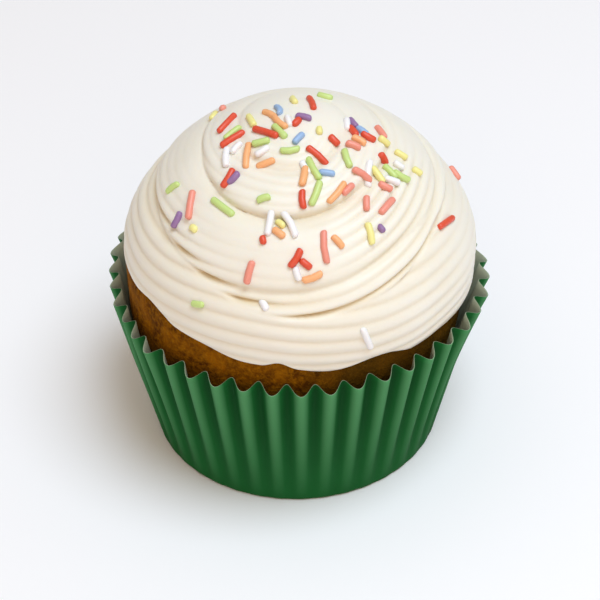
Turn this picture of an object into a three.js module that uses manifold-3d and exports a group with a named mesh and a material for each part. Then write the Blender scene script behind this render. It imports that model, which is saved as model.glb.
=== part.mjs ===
// A cupcake: a fluted paper case, the sponge baked in it, and a spiral of piped buttercream
// with sugar strands pressed into it.
// Millimetres, +Z up. The origin is the middle of the case's underside and the front is -Y.
// Azimuths are in degrees round +Z, 0 at the front and 90 at +X.

import * as THREE from "three";
import { mergeVertices } from "three/addons/utils/BufferGeometryUtils.js";
import Module from "manifold-3d";

const wasm = await Module();
wasm.setup();

// ---- Paper case -------------------------------------------------------------------------

const CASE_BASE_RADIUS = 25.4; // a flat disc two inches across
const CASE_RIM_RADIUS = 31.6; // over the ridges of the pleats
const CASE_HEIGHT = 29.2;
const CASE_EDGE_ROUND = 0.9; // radius pressed into the bottom edge
const PAPER_WALL = 0.35;
const PLEATS = 42;
const PLEAT_TURN = 1.4; // azimuth of the first ridge
const PLEAT_DEPTH = 1.75; // ridge to valley, at the rim
const PLEAT_RISE = 0.75; // exponent of that depth up the wall
const VALLEY_LIFT = 1.1; // the inner folds lean less, so they stand higher
const RIDGE_HALF = 0.19; // half the ridge's width, as a share of one pleat
const VALLEY_FROM = 0.34; // where the valley starts, as the same share
const PLEAT_STEPS = [-RIDGE_HALF, RIDGE_HALF, VALLEY_FROM, 1 - VALLEY_FROM];
const FLARE_FROM = 0.65; // share of the way up the wall
const WALL_STEPS = [0.03, FLARE_FROM, 1];
// Where the rim bends away from the sponge, or in to it: azimuth, half width, how far.
const RIM_FLARES = [
  [88, 42, 2],
  [-112, 34, 1.8],
  [-70, 22, -0.4],
];

// ---- Sponge -----------------------------------------------------------------------------

const CLEARANCE = 0.3; // between neighbouring pieces
const COLUMNS = 84; // round the sponge and the buttercream, two to a pleat
const SHOULDER_RADIUS = 28.7; // where the sponge has risen out of the case
const SHOULDER_HEIGHT = 29.4;
const DOME_HEIGHT = 10.4;
const DOME_ROUND = 3; // exponent of the dome's outline
const DOME_TILT = 3; // the sponge rose higher on the left
const TILT_FADE = 2.5; // height above the shoulder over which the tilt comes in
const CRUST_STEPS = [1, 0.99]; // shares of the shoulder's radius, outside the icing
const COVERED_STEPS = [0.97, 0.9, 0.75, 0.45]; // and under it
const CRUST_RELIEF = 0.35;
// Waves round the crust, and how far they turn from its edge to its middle, in radians.
const CRAGS = [
  { waves: 9, twist: 40 },
  { waves: 17, twist: 90 },
];
const SPONGE_FLOOR = PAPER_WALL + CLEARANCE;

// ---- Buttercream ------------------------------------------------------------------------

const ICING_CENTRE = [0.9, -0.4];
const WAIST_HEIGHT = 37.6; // where the mound is widest
const WAIST_RADIUS = 29.5;
const CROWN_HEIGHT = 24.8; // above the waist
const CROWN_ROUND = 1.68;
const TUCK_DEPTH = 16; // how fast the mound curls in below the waist
const TUCK_ROUND = 2.5;
// On the right it hangs down to the case and hardly curls in.
const HANG_DEPTH = 12; // deeper than the tuck elsewhere
const HANG_AT = 84;
const HANG_HALF = 34;
const ICING_SEAT = 1.1; // from the dome up to the icing's underside
const LIP_HEIGHT = 32.3; // in front and behind
const LIP_TILT = 4.3; // the edge stands higher on the left, like the sponge
const LIP_LOWEST = 30.3; // on the right, inside the case's rim
const LIP_WAVE = 0.4; // in degrees of height angle
const LIP_WAVES = [5, 11]; // round the whole edge
// Lobes of the edge: azimuth, half width and how far each hangs, in degrees. The others are
// drawn up.
const LIP_LOBES = [
  [-54, 6, -2.2],
  [-20, 7, 1.3],
  [-7, 3, -1.8],
  [6, 7, 1.2],
  [26, 9, -4.2],
  [43, 7, 1.6],
];
const LOWEST_LIP = -14.4;
const DEEPEST_LIP = -25; // height angle that the edge always stays above
const ANGLE_STEP = 1e-4;
const ROPE_START = -4; // azimuth where the piping starts
const START_LEVEL = 16.5; // height angle of the top of its blunt start
const START_TURN = 5; // degrees round, in which that start rounds off
// Height angle that the crease above each lap reaches, the turn after which it leaves the
// last one, and the turn in which it climbs there.
const LAPS = [
  { level: 25, after: 36, climb: 32 },
  { level: 50, after: 0, climb: 285 },
  { level: 67, after: 0, climb: 300 },
  { level: 90, after: 0, climb: 330 },
];
const FRONT_DIP = 8.5; // the laps sag towards the front
const FRONT_DIP_AT = -15;
const FRONT_DIP_HALF = 75;
const SAG_FROM_LIP = 22; // degrees over which the sag comes in above the lip
const SAG_TO_PEAK = 30; // and goes out below the peak
const FULL_LAP = 14; // a crease beside a lap narrower than this is shallower
const CREASE_DEPTHS = [0.6, 1.9]; // at the waist and half way up
const CREASE_DEEPENS = 42; // height angle at which a crease is deepest
const CREASE_FADES = 60; // degrees over which it fades out below the peak
const CREASE_SHAPE = 4;
const START_FADE = 22; // turn in which the first crease comes in
// The coil's crease is shallower away from the front: from this height angle, in this many
// degrees, by this share, outside this azimuth and half width.
const COIL_FROM = 30;
const COIL_OVER = 10;
const COIL_SHALLOWER = 0.6;
const COIL_FRONT = 10;
const COIL_FRONT_HALF = 110;
// On the left of the front the lower creases are shallower too, by this share.
const LEFT_AT = -45;
const LEFT_HALF = 40;
const LEFT_SHALLOWER = 0.5;
const CREST_AT = 0.4; // share of a lap's height at which it stands proudest
const LAP_ROWS = 5;

// ---- Sugar strands ----------------------------------------------------------------------

const STRAND_RADIUS = 0.58;
const STRAND_SIDES = 5;
const STRAND_TIP = 0.6; // length of a round end, as a share of the radius
const STRAND_LIFT = 0.15; // how far its axis lies above the icing's surface
const SHORTEST_SOLID = 2.7; // shorter strands are too small to be solids
const SEED = 20117;
// Strands that lie apart: azimuth, height angle, heading, length.
const LOOSE_STRANDS = [
  [-54, 36, 127, 5.0],
  [-56, 29, 100, 2.9],
  [-70, 35, 70, 2.9],
  [-39, 41, 170, 5.0],
  [-45, 51, 97, 3.6],
  [-14, 40, 92, 4.2],
  [-5, 40, 121, 4.8],
  [-2, 29, 58, 3.4],
  [4, 23, 18, 3.4],
  [10, 32, 88, 5.2],
  [-18, 23, 84, 3.8],
  [20, 1, 108, 4.4],
  [29, 33, 80, 3.6],
  [43, 39, 15, 3.9],
  [66, 21, 166, 5.0],
  [104, 16, 36, 2.9],
  [21, 50, 35, 4.6],
  [9, 51, 62, 4.4],
  [2, 49, 92, 3.2],
  [3, 58, 77, 3.9],
  [40, 53, 126, 3.8],
  [16, 66, 127, 4.4],
  [11, 61, 103, 4.6],
  [-47, 73, 12, 4.9],
  [-95, 62, 148, 4.8],
  [-70, 63, 98, 4.6],
  [-9, 69, 13, 3.2],
  [-57, 57, 143, 4.0],
  [-45, 62, 126, 5.0],
  [-27, 62, 37, 3.2],
  [-42, 69, 43, 3.0],
  [47, 52, 50, 4.6],
  [39, 61, 69, 3.6],
  [-90, 82, 12, 2.7],
  [16, 84, 147, 2.7],
  [129, 83, 150, 4.3],
  [-119, 50, 15, 2.7],
  [-168, 83, 90, 2.7],
  [143, 73, 20, 2.7],
  [77, 71, 19, 2.7],
  [72, 62, 90, 2.7],
  [85, 58, 37, 3.0],
  [59, 48, 78, 3.0],
  [62, 44, 110, 3.2],
  [55, 45, 119, 2.7],
  [51, 50, 75, 3.4],
  [-77, 64, 117, 3.6],
  [-82, 72, 10, 3.6],
  [-79, 79, 28, 3.4],
  [-43, 80, 167, 3.6],
  [-31, 76, 155, 3.6],
  [-126, 51, 53, 3.4],
];
// Pinches that fell on the far side: azimuth, height angle, spread in degrees, strands.
const PINCHES = [
  [170, 25, 14, 8],
  [-176, 10, 12, 6],
  [-148, 13, 13, 5],
  [148, 13, 13, 3],
];
const SHORTEST_STRAND = 2.2;
const LONGEST_STRAND = 4.8;
const LOWEST_STRAND = 5; // height angles between which the pinches lie
const HIGHEST_STRAND = 84;

const DEGREE = Math.PI / 180;

// ---- Small helpers ----------------------------------------------------------------------

function clamp(value, low, high) {
  return Math.min(high, Math.max(low, value));
}

function ease(x) {
  const t = clamp(x, 0, 1);
  return t * t * (3 - 2 * t);
}

function mix(a, b, share) {
  return a + (b - a) * share;
}

function onRing(radius, azimuth, height) {
  const a = azimuth * DEGREE;
  return new THREE.Vector3(radius * Math.sin(a), -radius * Math.cos(a), height);
}

function columnAzimuth(column) {
  return ROPE_START + (column * 360) / COLUMNS;
}

// 1 at an azimuth and 0 from half the width on.
function nearShare(azimuth, at, half) {
  const apart = azimuth - at;
  const from = apart - 360 * Math.round(apart / 360);
  return Math.abs(from) < half ? Math.cos(((from * 90) / half) * DEGREE) ** 2 : 0;
}

// The outer radius of a rounded outline, |c/across|^n + |s/up|^n = 1, along a height angle.
function roundedOutline(angle, across, up, exponent) {
  const c = Math.abs(Math.cos(angle * DEGREE) / across);
  const s = Math.abs(Math.sin(angle * DEGREE) / up);
  return (c ** exponent + s ** exponent) ** (-1 / exponent);
}

// A closed skin over a grid: row 0 and the last row are poles, and the column after the last
// one is column 0, shiftAt(row) rows further up. Cells that have shrunk to nothing are left out.
function closedSkin(columns, rows, pointAt, shiftAt = () => 0) {
  const positions = [];
  for (let c = 0; c < columns; c += 1) {
    for (let r = 0; r < rows; r += 1) {
      positions.push(...pointAt(c, r).toArray());
    }
  }
  const index = [];
  for (let c = 0; c < columns; c += 1) {
    const last = c === columns - 1;
    const right = (r) => {
      return last ? Math.min(rows - 1, r + shiftAt(r)) : (c + 1) * rows + r;
    };
    for (let r = 0; r < rows - 1; r += 1) {
      const here = c * rows + r;
      index.push(here, right(r), right(r + 1));
      index.push(here, right(r + 1), here + 1);
    }
  }
  const grid = new THREE.BufferGeometry();
  grid.setAttribute("position", new THREE.Float32BufferAttribute(positions, 3));
  grid.setIndex(index);
  return withoutEmptyCells(mergeVertices(grid, 1e-3));
}

function withoutEmptyCells(geometry) {
  const old = geometry.index.array;
  const kept = [];
  for (let i = 0; i < old.length; i += 3) {
    const [a, b, c] = [old[i], old[i + 1], old[i + 2]];
    if (a !== b && b !== c && c !== a) {
      kept.push(a, b, c);
    }
  }
  geometry.setIndex(kept);
  return geometry;
}

function toSolid(geometry) {
  return new wasm.Manifold(new wasm.Mesh({
    numProp: 3,
    vertProperties: new Float32Array(geometry.attributes.position.array),
    triVerts: new Uint32Array(geometry.index.array),
  }));
}

function toGeometry(solid) {
  const mesh = solid.getMesh();
  const geometry = new THREE.BufferGeometry();
  geometry.setAttribute("position", new THREE.BufferAttribute(mesh.vertProperties, 3));
  geometry.setIndex(new THREE.BufferAttribute(mesh.triVerts, 1));
  return geometry;
}

// ---- The paper case ---------------------------------------------------------------------

// 0 on a ridge, 1 in a valley, and straight down the flank between them.
function foldAt(share) {
  const fromRidge = Math.abs(share > 0.5 ? share - 1 : share);
  return clamp((fromRidge - RIDGE_HALF) / (VALLEY_FROM - RIDGE_HALF), 0, 1);
}

function pleatDepth(up) {
  return PLEAT_DEPTH * up ** PLEAT_RISE;
}

function rimFlare(azimuth, up) {
  const rise = clamp((up - FLARE_FROM) / (1 - FLARE_FROM), 0, 1);
  return RIM_FLARES.reduce((sum, [at, half, far]) => {
    return sum + rise * far * nearShare(azimuth, at, half);
  }, 0);
}

function wallPoint(share, azimuth, up, inset) {
  const fold = foldAt(share);
  const ridge = mix(CASE_BASE_RADIUS, CASE_RIM_RADIUS, up) + rimFlare(azimuth, up);
  const radius = ridge - pleatDepth(up) * fold - inset;
  return onRing(radius, azimuth, (CASE_HEIGHT + VALLEY_LIFT * fold) * up);
}

function makeCase() {
  const perPleat = PLEAT_STEPS.length;
  const outside = WALL_STEPS;
  const inside = [...WALL_STEPS].reverse();
  const rows = 2 + outside.length + inside.length + 2;
  const flat = CASE_BASE_RADIUS - CASE_EDGE_ROUND;
  return closedSkin(PLEATS * perPleat, rows, (column, row) => {
    const share = PLEAT_STEPS[column % perPleat];
    const pleat = Math.floor(column / perPleat);
    const azimuth = PLEAT_TURN + ((pleat + share) * 360) / PLEATS;
    if (row === 0) {
      return new THREE.Vector3(0, 0, 0);
    }
    if (row === 1) {
      return onRing(flat, azimuth, 0);
    }
    if (row === rows - 2) {
      return onRing(flat - PAPER_WALL, azimuth, PAPER_WALL);
    }
    if (row === rows - 1) {
      return new THREE.Vector3(0, 0, PAPER_WALL);
    }
    const wall = row - 2;
    return wall < outside.length
      ? wallPoint(share, azimuth, outside[wall], 0)
      : wallPoint(share, azimuth, inside[wall - outside.length], PAPER_WALL);
  });
}

// ---- The sponge -------------------------------------------------------------------------

function spongeWallPoint(azimuth, up) {
  const valley = mix(CASE_BASE_RADIUS, CASE_RIM_RADIUS, up) - pleatDepth(up);
  const height = Math.max(SPONGE_FLOOR + 2 * CLEARANCE, (CASE_HEIGHT + VALLEY_LIFT) * up);
  return onRing(valley - PAPER_WALL - CLEARANCE, azimuth, height);
}

// Height of the sponge's crust. Its left side stands above its right one.
function domeHeight(x, y) {
  const rim = clamp(Math.hypot(x, y) / SHOULDER_RADIUS, 0, 1) ** DOME_ROUND;
  const above = DOME_HEIGHT * (1 - rim) ** (1 / DOME_ROUND);
  const tilt = (DOME_TILT * x) / SHOULDER_RADIUS;
  return SHOULDER_HEIGHT + above - tilt * ease(above / TILT_FADE);
}

function domePoint(azimuth, share, lift) {
  const point = onRing(SHOULDER_RADIUS * share, azimuth, 0);
  point.z = domeHeight(point.x, point.y) + lift;
  return point;
}

// The crags sink into the dome, never out of it.
function crustPoint(azimuth, share) {
  const a = azimuth * DEGREE;
  const wave = CRAGS.map(({ waves, twist }) => Math.sin(waves * a + twist * share));
  const crag = CRUST_RELIEF * ((wave[0] + wave[1]) / 2 - 1);
  const point = domePoint(azimuth, share, 0);
  return point.multiplyScalar(1 + crag / point.length());
}

function makeSponge() {
  const wall = WALL_STEPS.slice(0, -1);
  const edge = CASE_BASE_RADIUS - CASE_EDGE_ROUND - PAPER_WALL - 2 * CLEARANCE;
  const rings = [
    () => new THREE.Vector3(0, 0, SPONGE_FLOOR),
    (azimuth) => onRing(edge, azimuth, SPONGE_FLOOR),
    ...wall.map((up) => (azimuth) => spongeWallPoint(azimuth, up)),
    ...CRUST_STEPS.map((share) => (azimuth) => crustPoint(azimuth, share)),
    ...COVERED_STEPS.map((share) => (azimuth) => domePoint(azimuth, share, 0)),
    () => domePoint(0, 0, 0),
  ];
  return closedSkin(COLUMNS, rings.length, (column, ring) => rings[ring](columnAzimuth(column)));
}

// ---- The buttercream --------------------------------------------------------------------

function onIcing(radius, azimuth, height) {
  const point = onRing(radius, azimuth, height);
  point.x += ICING_CENTRE[0];
  point.y += ICING_CENTRE[1];
  return point;
}

function mound(azimuth, angle) {
  if (angle >= 0) {
    return roundedOutline(angle, WAIST_RADIUS, CROWN_HEIGHT, CROWN_ROUND);
  }
  const tuck = TUCK_DEPTH + HANG_DEPTH * nearShare(azimuth, HANG_AT, HANG_HALF);
  return roundedOutline(angle, WAIST_RADIUS, tuck, TUCK_ROUND);
}

// A place by its height angle, seen from the middle of the waist.
function alongAngle(radius, azimuth, angle) {
  const height = WAIST_HEIGHT + radius * Math.sin(angle * DEGREE);
  return onIcing(radius * Math.cos(angle * DEGREE), azimuth, height);
}

// Height angle of the lower edge, found by halving: there the mound comes down to the edge's
// height, or to the sponge.
function lipAngle(azimuth) {
  let below = DEEPEST_LIP;
  let above = 0;
  while (above - below > ANGLE_STEP) {
    const angle = (above + below) / 2;
    const edge = alongAngle(mound(azimuth, angle), azimuth, angle);
    const tilted = LIP_HEIGHT - (LIP_TILT * edge.x) / WAIST_RADIUS;
    if (edge.z > Math.max(LIP_LOWEST, tilted, domeHeight(edge.x, edge.y) + ICING_SEAT)) {
      above = angle;
    } else {
      below = angle;
    }
  }
  const a = azimuth * DEGREE;
  const wave = LIP_WAVES.map((waves) => Math.sin(waves * a + 1));
  let lip = above + LIP_WAVE * (1 + (wave[0] + wave[1]) / 2);
  for (const [at, half, hang] of LIP_LOBES) {
    lip -= hang * nearShare(azimuth, at, 2 * half);
  }
  return Math.max(lip, LOWEST_LIP);
}

// Height angle of the crease above the rope, turn degrees along it from its start. It leaves
// the lip at the start and ends at the peak.
function creaseAngle(turn) {
  const azimuth = turn + ROPE_START;
  const lip = lipAngle(azimuth);
  if (turn <= 0) {
    return lip;
  }
  const rounding = 1 - clamp(turn / START_TURN, 0, 1);
  let angle = mix(lip, START_LEVEL, 1 - rounding ** 2);
  let level = START_LEVEL;
  LAPS.forEach((next, lap) => {
    angle += (next.level - level) * ease((turn - 360 * lap - next.after) / next.climb);
    level = next.level;
  });
  const front = nearShare(azimuth, FRONT_DIP_AT, FRONT_DIP_HALF);
  const sag = FRONT_DIP * front * clamp((angle - lip) / SAG_FROM_LIP, 0, 1);
  return Math.min(90, angle - sag * clamp((90 - angle) / SAG_TO_PEAK, 0, 1));
}

// The lip, the creases and the peak, from the bottom up, at one turn of the first lap.
function lapEdges(turn) {
  const edges = [lipAngle(turn + ROPE_START)];
  for (let lap = 0; lap <= LAPS.length; lap += 1) {
    edges.push(creaseAngle(turn + 360 * lap));
  }
  return edges;
}

// How deep a crease lies below the mound. The lip and the peak aren't creases.
function creaseDepth(azimuth, edges, number) {
  if (number === 0 || number === edges.length - 1) {
    return 0;
  }
  const angle = edges[number];
  const narrowest = Math.min(angle - edges[number - 1], edges[number + 1] - angle);
  const away = 1 - nearShare(azimuth, COIL_FRONT, COIL_FRONT_HALF);
  const high = ease((angle - COIL_FROM) / COIL_OVER);
  const left = LEFT_SHALLOWER * nearShare(azimuth, LEFT_AT, LEFT_HALF) * (1 - high);
  const fade = clamp((90 - angle) / CREASE_FADES, 0, 1) * clamp(narrowest / FULL_LAP, 0, 1);
  const depth = mix(...CREASE_DEPTHS, ease(angle / CREASE_DEEPENS)) * fade;
  return depth * (1 - COIL_SHALLOWER * away * high) * (1 - left);
}

// 0 at a lap's crest, 1 in the crease at either side.
function fallFromCrest(share) {
  return share < CREST_AT
    ? (1 - share / CREST_AT) ** CREASE_SHAPE
    : ((share - CREST_AT) / (1 - CREST_AT)) ** CREASE_SHAPE;
}

// How far the surface lies below the mound, at a height angle between the edges of the laps.
function dropAt(azimuth, angle, edges) {
  let lap = 0;
  while (lap < edges.length - 2 && angle >= edges[lap + 1]) {
    lap += 1;
  }
  const low = edges[lap];
  const share = clamp((angle - low) / Math.max(edges[lap + 1] - low, 1e-6), 0, 1);
  const depth = creaseDepth(azimuth, edges, share < CREST_AT ? lap : lap + 1);
  return depth * fallFromCrest(share);
}

// The first crease comes in along the rope's start.
function icingRadius(turn, angle) {
  const azimuth = turn + ROPE_START;
  const edges = lapEdges(turn);
  const before = dropAt(azimuth, angle, edges.filter((edge, number) => number !== 1));
  const after = dropAt(azimuth, angle, edges);
  return mound(azimuth, angle) - mix(before, after, ease(turn / START_FADE));
}

function icingPoint(turn, angle) {
  return alongAngle(icingRadius(turn, angle), turn + ROPE_START, angle);
}

function makeSwirl() {
  const under = [...COVERED_STEPS].reverse();
  const firstLine = 1 + under.length;
  const rows = firstLine + (LAPS.length + 1) * LAP_ROWS + 1;
  return closedSkin(
    COLUMNS,
    rows,
    (column, row) => {
      if (row === 0) {
        return domePoint(0, 0, ICING_SEAT);
      }
      if (row < firstLine) {
        return domePoint(columnAzimuth(column), under[row - 1], ICING_SEAT);
      }
      const line = row - firstLine;
      const lap = Math.min(LAPS.length, Math.floor(line / LAP_ROWS));
      const turn = columnAzimuth(column) - ROPE_START;
      const edges = lapEdges(turn);
      return icingPoint(turn, mix(edges[lap], edges[lap + 1], line / LAP_ROWS - lap));
    },
    (row) => (row >= firstLine ? LAP_ROWS : 0),
  );
}

// ---- The sugar strands ------------------------------------------------------------------

// A repeatable draw between 0 and 1.
function makeDraw(seed) {
  let state = seed;
  return () => {
    state = (state * 16807) % 2147483647;
    return state / 2147483647;
  };
}

// A rod with pointed round ends along x, its middle at the origin.
function strandSkin(length) {
  const half = length / 2;
  const stations = [
    [-half, 0],
    [-half + STRAND_RADIUS * STRAND_TIP, STRAND_RADIUS],
    [half - STRAND_RADIUS * STRAND_TIP, STRAND_RADIUS],
    [half, 0],
  ];
  return closedSkin(STRAND_SIDES, stations.length, (side, station) => {
    const [along, radius] = stations[station];
    const a = (-2 * Math.PI * side) / STRAND_SIDES;
    return new THREE.Vector3(along, radius * Math.sin(a), radius * Math.cos(a));
  });
}

// A place on the icing's surface.
function icingAt(azimuth, angle) {
  return icingPoint((((azimuth - ROPE_START) % 360) + 360) % 360, angle);
}

// Laid with both ends on the icing, and raised where the icing stands up between them.
function layStrand(azimuth, angle, heading, length) {
  const reach = (length / 2 - STRAND_RADIUS) / (WAIST_RADIUS * DEGREE);
  const round = (reach * Math.cos(heading * DEGREE)) / Math.cos(angle * DEGREE);
  const up = reach * Math.sin(heading * DEGREE);
  const tail = icingAt(azimuth - round, angle - up);
  const head = icingAt(azimuth + round, angle + up);
  const middle = icingAt(azimuth, angle);
  const centre = tail.clone().add(head).multiplyScalar(0.5);
  const along = head.clone().sub(tail).normalize();
  const waist = onIcing(0, 0, WAIST_HEIGHT);
  const across = middle.clone().sub(waist).cross(along).normalize();
  const out = along.clone().cross(across);
  const raised = Math.max(0, middle.sub(centre).dot(out)) + STRAND_LIFT;
  const place = new THREE.Matrix4().makeBasis(along, across, out);
  place.setPosition(centre.addScaledVector(out, raised));
  return strandSkin(length).applyMatrix4(place);
}

function allStrands() {
  const strands = [...LOOSE_STRANDS];
  const draw = makeDraw(SEED);
  for (const [azimuth, angle, spread, count] of PINCHES) {
    for (let i = 0; i < count; i += 1) {
      const up = angle + spread * (draw() + draw() - 1);
      const round = (spread * (draw() + draw() - 1)) / Math.cos(up * DEGREE);
      const heading = 180 * draw();
      const length = mix(SHORTEST_STRAND, LONGEST_STRAND, draw());
      strands.push([azimuth + round, clamp(up, LOWEST_STRAND, HIGHEST_STRAND), heading, length]);
    }
  }
  return strands.filter((strand) => strand[3] >= SHORTEST_SOLID);
}

function makeIcing() {
  let icing = toSolid(makeSwirl());
  for (const strand of allStrands()) {
    icing = icing.add(toSolid(layStrand(...strand)));
  }
  // A scrap that hangs loose and a hollow that the strands seal are both left out.
  const pieces = icing.decompose().sort((a, b) => b.volume() - a.volume());
  return toGeometry(pieces[0]);
}

// ---- The cupcake ------------------------------------------------------------------------

function makeMesh(name, geometry, colour, roughness) {
  const material = new THREE.MeshStandardMaterial({ color: colour, roughness, metalness: 0 });
  const mesh = new THREE.Mesh(geometry, material);
  mesh.name = name;
  return mesh;
}

const cupcake = new THREE.Group();
cupcake.add(makeMesh("paper_case", makeCase(), 0x2f7d4a, 0.7));
cupcake.add(makeMesh("sponge", makeSponge(), 0x8a5a1c, 0.9));
cupcake.add(makeMesh("buttercream", makeIcing(), 0xf1e8da, 0.5));

export default cupcake;
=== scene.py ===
"""A cupcake: a pleated paper case, the sponge baked in it, piped buttercream and sugar strands.

Shapes are worked out in millimetres and put into the meshes in metres. Azimuths are in degrees
round +Z, 0 at the front (-Y) and 90 at +X. The icing is described from the middle of its waist:
a height angle of 0 is level with the waist and 90 is the peak.
"""

import math

import bpy
import numpy as np
from bpy.props import FloatProperty, FloatVectorProperty, IntProperty, PointerProperty
from mathutils import Matrix, Vector


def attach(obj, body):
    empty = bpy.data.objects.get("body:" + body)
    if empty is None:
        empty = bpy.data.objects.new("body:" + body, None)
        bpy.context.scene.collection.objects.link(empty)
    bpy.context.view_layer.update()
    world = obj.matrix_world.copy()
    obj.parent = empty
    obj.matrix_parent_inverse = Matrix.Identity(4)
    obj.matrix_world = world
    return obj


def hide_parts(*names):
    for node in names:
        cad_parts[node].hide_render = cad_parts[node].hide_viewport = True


bl_info = {
    "name": "Cupcake",
    "version": (1, 0, 0),
    "blender": (4, 5, 0),
    "location": "3D View > Sidebar > Cupcake",
    "description": "Builds a cupcake in its paper case, with piped icing and sugar strands",
    "category": "Object",
}

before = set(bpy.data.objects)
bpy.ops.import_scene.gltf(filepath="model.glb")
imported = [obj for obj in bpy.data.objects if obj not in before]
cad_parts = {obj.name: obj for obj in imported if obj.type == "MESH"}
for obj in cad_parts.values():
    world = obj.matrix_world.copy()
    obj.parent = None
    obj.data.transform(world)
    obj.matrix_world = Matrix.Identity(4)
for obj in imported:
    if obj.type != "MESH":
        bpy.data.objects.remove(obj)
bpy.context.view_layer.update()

MM = 0.001
BODY = "root"
PEAK = 90  # height angle of the icing's peak
VALLEY = 0.5  # share of the way from one ridge to the next

# Below, a hill round the cupcake is the azimuth of its middle and its half width. A step is
# where it starts and how far on it ends, less than 0 where it runs the other way.

# Camera: it looks down on the front of the cupcake.
VIEW_ELEVATION = 38.74
VIEW_DISTANCE = 274.6
VIEW_TARGET = (0.76, 0.0, 23.35)
VIEW_ROLL = -0.76
LENS = 94.85
SENSOR = 36.0

# Paper case. The pleats' roundings are shares of the way from a ridge to a valley.
PLEAT_TURN = 1.4
RIDGE_ROUND = 0.5
VALLEY_ROUND = 0.25
PLEAT_RISE = 0.75  # exponent of the pleats' depth up the wall
PLEAT_SEED = 5
# How unlike each other the pleats are: a share of their depth, and millimetres at the rim.
UNEVEN_DEPTH = 0.07
UNEVEN_HEIGHT = 0.14
UNEVEN_LEAN = 0.22
LEAN_BEND = 3  # exponent of the lean up the wall
# Where the rim bends away from the sponge, or in to it: azimuth, half width, how far in mm.
RIM_FLARES = [(88, 42, 2.0), (-112, 34, 1.8), (-70, 22, -0.4)]
FLARE_FROM = 0.55
FLARE_BEND = 1.4  # exponent of the flare up the wall from there
CASE_EDGE_ROUND = 0.9
PLEAT_COLUMNS = 16
# Rings of the wall, as shares of its height: close together at the foot, then even.
WALL_UPS = np.concatenate([[0.012, 0.03], np.linspace(0.06, 1.0, 20)])
RIM_CREST = 0.4  # how far the rim's edge stands up, in thicknesses of the paper
RIM_PALE = 0.6  # how much of the undyed inside shows on that edge

# Sponge.
SHOULDER_RADIUS = 28.9
SHOULDER_HEIGHT = 29.4
DOME_HEIGHT = 10.4
DOME_ROUND = 3.0
DOME_TILT = 3.0
TILT_FADE = 2.5
SPONGE_COLUMNS = 720
SPONGE_GAP = 0.3
FOOT_INSET = 0.8
CLEAR_OF_PLEATS = 1.15  # the deepest pleat that the sponge keeps clear of, in pleats
# Rings up the sponge's side, in shares of its shoulder's height, and in over its dome, in
# shares of the shoulder's radius.
SIDE_UPS = np.linspace(0.05, 0.93, 12)
DOME_SHARES = np.concatenate([np.linspace(1, 0.9, 22), np.linspace(0.87, 0.15, 14)])
# Crags and crumbs in the crust: share of the relief, size in millimetres, seed.
CRUST_NOISE = [(0.55, 2.6, 11), (0.3, 1.1, 12), (0.15, 0.5, 13)]
CRUST_LEVEL = 0.9  # the noise that lies level with the plain crust
CRUST_STEP = (24.0, 4.0)  # in height: the crust is smooth below it
NOISE_CELLS = 32

# Buttercream.
ICING_CENTRE = (0.9, -0.4)
WAIST_HEIGHT = 37.6
WAIST_RADIUS = 29.5
CROWN_HEIGHT = 24.8
CROWN_ROUND = 1.68
TUCK_DEPTH = 16.0
TUCK_ROUND = 2.5
# On the right it hangs down to the case and hardly curls in.
HANG_DEPTH = 12.0
HANG_HILL = (84, 34)
ICING_SEAT = 0.2
LIP_HEIGHT = 32.3
LIP_TILT = 4.3
LIP_LOWEST = 30.3
LIP_WAVE = 0.4
LIP_WAVES = (5, 11)  # waves round the edge
# Lobes of the edge: azimuth, half width halfway down and how far each hangs, in degrees. Those
# with a negative hang are drawn up.
LIP_LOBES = [(-54, 6, -2.2), (-20, 7, 1.3), (-7, 3, -1.8), (6, 7, 1.2), (26, 9, -4.2), (43, 7, 1.6)]
LOWEST_LIP = -14.4
UNDER_LIP = -25.0  # a height angle that is below the edge all round
LIP_HALVINGS = 22
LIP_ROLL = 2.4  # degrees over which the edge is rounded off
LIP_ROUND = 0.9
ROPE_START = -4.0
START_LEVEL = 16.5
START_TURN = 5.0
# Height angle that the crease above each lap reaches, the turn after which it leaves the last
# one, and the turn in which it climbs there.
LAPS = [(25, 36, 32), (50, 0, 285), (67, 0, 300), (PEAK, 0, 330)]
# How far the creases sag in front, and the degrees from the edge and from the peak over which
# they come to sag so far.
FRONT_DIP = 8.5
DIP_HILL = (-15, 75)
DIP_FROM_LIP = 22
DIP_FROM_PEAK = 30
# Depth of a crease at the waist, and how much more it has from a height angle on up.
CREASE_DEPTH = 0.6
CREASE_MORE = 1.3
CREASE_MORE_AT = 42
CREASE_FADE = 60  # degrees below the peak from which they fade
FULL_LAP = 14.0  # a narrower lap has shallower creases
THINNEST_LAP = 1e-6  # where two creases meet
START_FADE = 22.0
CREASE_SHAPE = 4.0  # exponent of the way from a lap's crest to the crease
CREST_AT = 0.4
# By which share creases are shallower: on the coil away from a hill round the front, and below
# the coil on a hill on the left.
BACK_LESS = 0.6
FRONT_HILL = (10, 110)
LEFT_LESS = 0.5
LEFT_HILL = (-45, 40)
COIL_FOOT = (30, 10)  # in height angles

# The ribs that the nozzle's teeth leave, 1.9 mm apart.
RIB_STEP = 4.1
RIB_AT = 17.7
RIB_CLIMB = 4  # whole ribs that they rise by, once round, so that they join
RIB_CLIMBING = (-10.0, 95.0)
RIB_BACK = 0.9  # exponent of a rib's rounded back
RIB_HILL = (0, 150)
# The lower edge of the rope's second lap, which comes down over the ribs in front.
EDGE_LEVEL = 25.5
EDGE_DIP = 15.4
EDGE_HILL = (3, 78)
EDGE_OVER = (-1.2, 1.6)
# The notches along that edge, and the grooves that fade above it.
NOTCH_DEPTH = 0.8
NOTCH_WIDE = 2.6
NOTCH_END = (70, -40)
GROOVE_DEPTH = 0.2
GROOVE_MORE = 0.42
GROOVE_FADE = 6.5
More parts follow.
